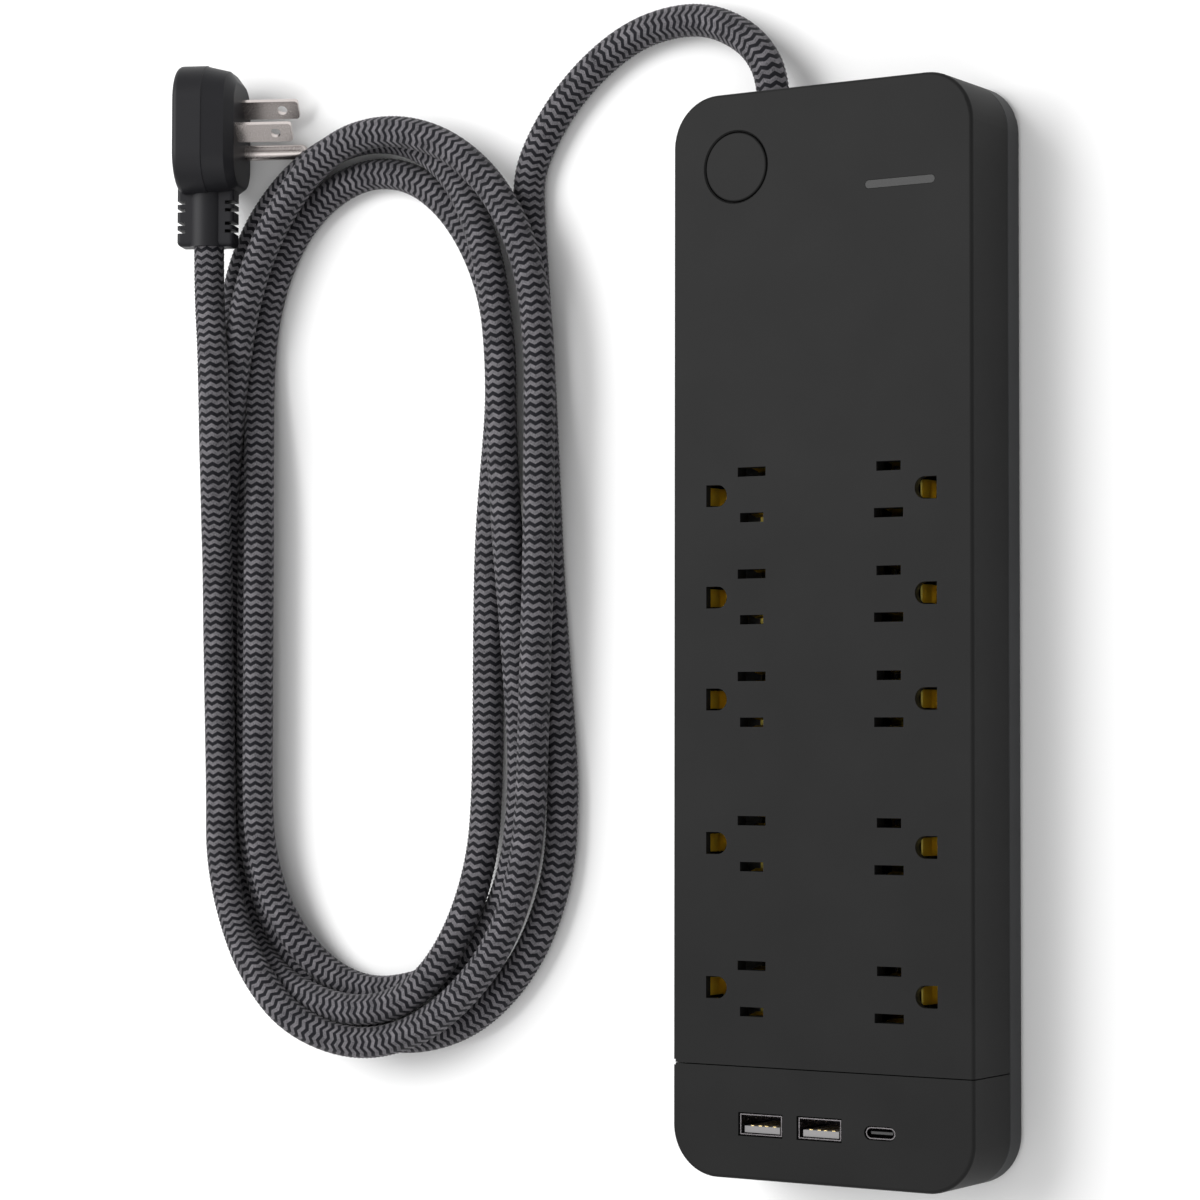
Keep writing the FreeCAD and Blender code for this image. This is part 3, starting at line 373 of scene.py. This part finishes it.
def grey(value, tint=(1.0, 1.0, 1.0)):
    """Near-neutral colour."""
    return tuple(value * t for t in tint)


def textured_plastic(name, colour, roughness=(0.5, 0.62), relief=0.12, specular=0.4):
    """Moulded plastic with a fine spark-eroded grain and slightly uneven colour."""
    graph = Graph(name)
    broad = graph.noise(CLOUD_SCALE, 4)
    low = [c * 0.88 for c in colour]
    high = [c * 1.12 for c in colour]
    graph.link(graph.ramp(broad, low, high), graph.shader.inputs["Base Color"])
    fine = graph.noise(GRAIN_SCALE, 2)
    graph.link(graph.spread(fine, *roughness), graph.shader.inputs["Roughness"])
    graph.shader.inputs["Specular IOR Level"].default_value = specular
    graph.bump(fine, relief, GRAIN_DEPTH)
    return graph.material


def plated_metal(name, colour, roughness=(0.18, 0.34), stretch=(1, 14, 14)):
    """Rolled metal with fine drawing lines."""
    graph = Graph(name)
    lines = graph.noise(ROLLING_SCALE, 4, stretch=stretch)
    low = [c * 0.86 for c in colour]
    graph.link(graph.ramp(lines, low, colour), graph.shader.inputs["Base Color"])
    graph.link(graph.spread(lines, *roughness), graph.shader.inputs["Roughness"])
    graph.shader.inputs["Metallic"].default_value = 1.0
    graph.bump(lines, 0.05, ROLLING_DEPTH)
    return graph.material


def yarn(name, dark, light):
    """Braided polyester yarn: short bright filaments running along the lead."""
    graph = Graph(name)
    filaments = graph.noise(1.0, 3, coordinates="UV", stretch=FILAMENT_STRETCH)
    worn = graph.noise(WEAR_SCALE, 3)
    wear_share = 0.35
    mixed = graph.node("ShaderNodeMath", operation="MULTIPLY_ADD")
    mixed.inputs[1].default_value = 1 - wear_share
    graph.link(filaments, mixed.inputs[0])
    shade = graph.node("ShaderNodeMath", operation="MULTIPLY")
    shade.inputs[1].default_value = wear_share
    graph.link(worn, shade.inputs[0])
    graph.link(shade.outputs[0], mixed.inputs[2])
    graph.link(graph.ramp(mixed.outputs[0], dark, light, 0.32, 0.68), graph.shader.inputs["Base Color"])
    graph.link(graph.spread(filaments, 0.62, 0.86), graph.shader.inputs["Roughness"])
    graph.shader.inputs["Sheen Weight"].default_value = 0.06
    graph.shader.inputs["Sheen Roughness"].default_value = 0.5
    graph.shader.inputs["Specular IOR Level"].default_value = 0.12
    graph.bump(filaments, 0.55, FILAMENT_DEPTH)
    return graph.material


def paint(material, *names):
    """Gives CAD nodes one material."""
    for name in names:
        mesh = NODES[name].data
        mesh.materials.clear()
        mesh.materials.append(material)


def paint_case():
    """Case, button, indicator window, feet and strain relief."""
    paint(textured_plastic("housing_plastic", grey(0.0092), specular=0.13),
          "front_cover", "usb_end_cap", "power_button")
    # Painted light: the base shell is coloured lighter and bluer than the cover to stand in for the extra light
    # its flank catches
    paint(textured_plastic("base_plastic", grey(0.021, (0.97, 1.0, 1.07)), specular=0.3), "base_shell")
    paint(textured_plastic("foot_rubber", grey(0.02), roughness=(0.75, 0.9)), "rubber_feet")
    paint(textured_plastic("relief_rubber", grey(0.022), roughness=(0.55, 0.7)), "cord_bush")
    paint(textured_plastic("lens_plastic", grey(0.013), roughness=(0.30, 0.38), relief=0.02, specular=0.22),
          "indicator_lens")


def paint_plug():
    """Plug and its prongs."""
    paint(textured_plastic("plug_plastic", grey(0.011, (0.97, 0.96, 1.14)), roughness=(0.42, 0.55), specular=0.2),
          "plug_body", "plug_relief")
    paint(plated_metal("prong_nickel", (0.58, 0.53, 0.51)),
          "plug_blade_line", "plug_blade_neutral", "plug_ground_pin")


def paint_contacts():
    """Brass bars, gold contacts, plated screws and the USB sockets."""
    paint(plated_metal("contact_brass", (0.95, 0.77, 0.17), roughness=(0.32, 0.48)),
          "neutral_bar_left", "neutral_bar_right", "line_bar_left", "line_bar_right",
          "ground_bar_left", "ground_bar_right", "switch_terminals")
    paint(plated_metal("contact_gold", (0.86, 0.66, 0.30)), "usb_contacts")
    paint(plated_metal("screw_zinc", (0.55, 0.55, 0.57), stretch=(1, 1, 1)),
          "case_screws", "clamp_screws", "button_spring", "thermal_fuse")
    paint(plated_metal("socket_steel", (0.16, 0.15, 0.155), stretch=(1, 1, 12)),
          "usb_a_shell_1", "usb_a_shell_2", "usb_c_shell", "usb_capacitors")
    paint(textured_plastic("tongue_plastic", grey(0.21, (1.0, 0.97, 0.98)), roughness=(0.35, 0.45)),
          "usb_a_tongue_1", "usb_a_tongue_2")
    paint(textured_plastic("dark_plastic", grey(0.03), roughness=(0.35, 0.45)), "usb_c_tongue", "switch_body")


def paint_inside():
    """Carriers, boards, components and cores inside the case."""
    paint(textured_plastic("carrier_plastic", grey(0.05)),
          "contact_carrier_left", "contact_carrier_right", "button_cage", "cord_clamp")
    paint(textured_plastic("plunger_plastic", (0.6, 0.6, 0.58)), "switch_plunger")
    paint(textured_plastic("lamp_plastic", (0.75, 0.75, 0.66), roughness=(0.2, 0.3)), "indicator_lamps")
    paint(textured_plastic("board", (0.02, 0.13, 0.05), roughness=(0.3, 0.4)),
          "surge_board", "usb_board", "indicator_board")
    paint(textured_plastic("varistor_coat", (0.05, 0.12, 0.36)), "varistors")
    paint(textured_plastic("film_box", (0.55, 0.42, 0.06)), "film_capacitor", "usb_transformer")
    paint(textured_plastic("choke_core", (0.16, 0.20, 0.08)), "choke")
    paint(textured_plastic("line_core", grey(0.015)), "line_lead", "switched_lead")
    paint(textured_plastic("neutral_core", grey(0.7)), "neutral_lead")
    paint(textured_plastic("ground_core", (0.03, 0.25, 0.06)), "ground_lead")


# ---------------------------------------------------------------- room

def make_floor():
    """Plain pale floor."""
    bpy.ops.mesh.primitive_plane_add(size=FLOOR_SIZE, location=(0, 0, 0))
    floor = bpy.context.object
    floor.name = "floor"
    graph = Graph("floor_paper")
    graph.shader.inputs["Base Color"].default_value = FLOOR_COLOUR
    graph.shader.inputs["Roughness"].default_value = FLOOR_ROUGHNESS
    floor.data.materials.append(graph.material)


def make_light(name, place, size, power):
    """Soft square light aimed at the object."""
    data = bpy.data.lights.new(name, "AREA")
    data.energy = power
    data.size = size
    light = bpy.data.objects.new(name, data)
    light.location = place
    aim = Vector(LIGHT_AIM) - Vector(place)
    light.rotation_euler = aim.to_track_quat("-Z", "Y").to_euler()
    bpy.context.scene.collection.objects.link(light)


def make_lights():
    """Plain soft studio light."""
    world = bpy.data.worlds.new("studio")
    world.use_nodes = True
    background = world.node_tree.nodes["Background"]
    background.inputs["Color"].default_value = WORLD_COLOUR
    background.inputs["Strength"].default_value = WORLD_STRENGTH
    bpy.context.scene.world = world
    bpy.context.scene.view_settings.view_transform = "Standard"
    make_light("key", (-0.9, 0.5, 1.4), 1.2, 27)
    make_light("fill", (0.5, -0.9, 1.5), 1.4, 7)


# ---------------------------------------------------------------- assembly

make_camera()
make_braided_cord([
    yarn("yarn_light", (0.025, 0.025, 0.029), (0.21, 0.20, 0.215)),
    yarn("yarn_dark", (0.003, 0.003, 0.0045), (0.013, 0.013, 0.017)),
])
paint_case()
paint_plug()
paint_contacts()
paint_inside()
make_floor()
make_lights()
